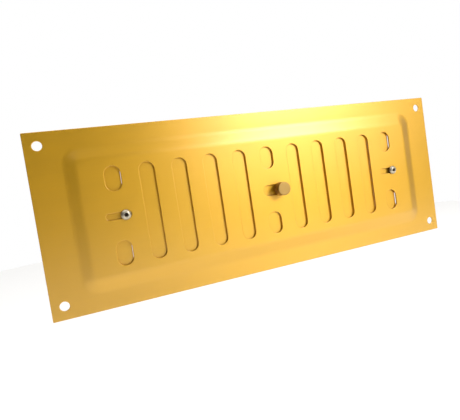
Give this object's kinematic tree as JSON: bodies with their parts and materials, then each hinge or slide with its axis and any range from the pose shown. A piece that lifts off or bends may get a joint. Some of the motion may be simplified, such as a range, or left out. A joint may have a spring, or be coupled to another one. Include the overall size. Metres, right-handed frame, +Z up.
{
  "type": "adjustable sliding air vent",
  "caption": "Flat pressed-metal ventilation cover with slotted raised panel, a sliding slotted shutter behind it on guide rivets, a push knob and corner fixing holes.",
  "frame": {"origin": "middle of the four fixing holes, on the wall face", "axes": "+X along the width, +Z up, and the front of the vent faces -Y"},
  "size_m": [0.242, 0.0119, 0.089],
  "materials": {
    "gold_aluminium": "satin gold anodised",
    "brass": "dull turned",
    "bare_aluminium": "plain mill",
    "plated_steel": "bright zinc plated",
    "mandrel_steel": "dull"
  },
  "bodies": {
    "plate": {"front_plate": "gold_aluminium"},
    "slider": {"shutter": "gold_aluminium", "knob": "brass", "knob_screw": "plated_steel", "knob_washer": "plated_steel", "left_washer": "plated_steel", "right_washer": "plated_steel", "left_guide_rivet": "bare_aluminium", "right_guide_rivet": "bare_aluminium", "left_mandrel": "mandrel_steel", "right_mandrel": "mandrel_steel"}
  },
  "joints": [
    {"name": "shutter_slide", "type": "slide", "parent": "plate", "child": "slider", "axis": [1, 0, 0], "range_m": [-0.00725, 0.00065]}
  ]
}
